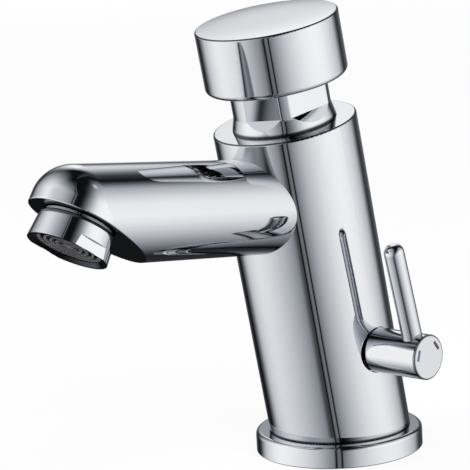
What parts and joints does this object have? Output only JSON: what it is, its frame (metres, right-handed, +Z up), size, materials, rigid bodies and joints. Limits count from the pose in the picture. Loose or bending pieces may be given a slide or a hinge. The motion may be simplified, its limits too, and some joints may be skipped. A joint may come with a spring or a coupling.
{
  "type": "timed push tap",
  "caption": "Leaning chrome basin tap: a push button opens a self-closing timed valve, a side lever mixes hot and cold, and a rising spout ends in a turned-down aerator.",
  "frame": {"origin": "middle of the foot's flat underside, on the deck, halfway between the fixing studs", "axes": "+Z up from the deck, -Y towards the spout's outlet, +X towards the temperature lever"},
  "size_m": [0.0692, 0.1487, 0.1446],
  "materials": {
    "chrome": "polished",
    "brass": "machined",
    "steel": "drawn",
    "rubber": "matt",
    "grey_plastic": "moulded",
    "white_plastic": "moulded",
    "blue_enamel": "gloss",
    "red_enamel": "gloss"
  },
  "bodies": {
    "casting": {"body": "chrome", "spout": "chrome", "base_ring": "chrome", "bonnet_nut": "chrome", "aerator_housing": "chrome", "valve_seat": "brass", "gland_nut": "brass", "return_spring": "steel", "metering_needle": "steel", "aerator_screen": "steel", "cold_strainer": "steel", "hot_strainer": "steel", "deck_seal": "rubber", "bonnet_o_ring": "rubber", "spindle_o_ring": "rubber", "cartridge_o_rings": "rubber", "stem_o_ring": "rubber", "aerator_gasket": "rubber", "aerator_basket": "grey_plastic", "flow_regulator": "grey_plastic", "cartridge_sleeve": "white_plastic", "spindle_guide": "white_plastic", "cold_check_valve": "white_plastic", "hot_check_valve": "white_plastic"},
    "button": {"push_button": "chrome", "valve_spindle": "brass", "seat_washer": "rubber", "washer_nut": "brass", "timing_piston": "white_plastic", "piston_seal": "rubber"},
    "lever": {"lever_hub": "chrome", "lever_rod": "chrome", "cold_mark": "blue_enamel", "hot_mark": "red_enamel", "mixing_stem": "brass", "mixing_drum": "white_plastic"}
  },
  "joints": [
    {"name": "button_press", "type": "slide", "parent": "casting", "child": "button", "axis": [0, 0.184, -0.9829], "range_m": [0, 0.008], "stiffness_N_per_m": 1200, "springref_m": -0.008, "deforming": ["return_spring"]},
    {"name": "lever_turn", "type": "hinge", "parent": "casting", "child": "lever", "pos_m": [0, -0.00481, 0.03568], "axis": [1, 0, 0], "range_deg": [-45, 45]}
  ]
}
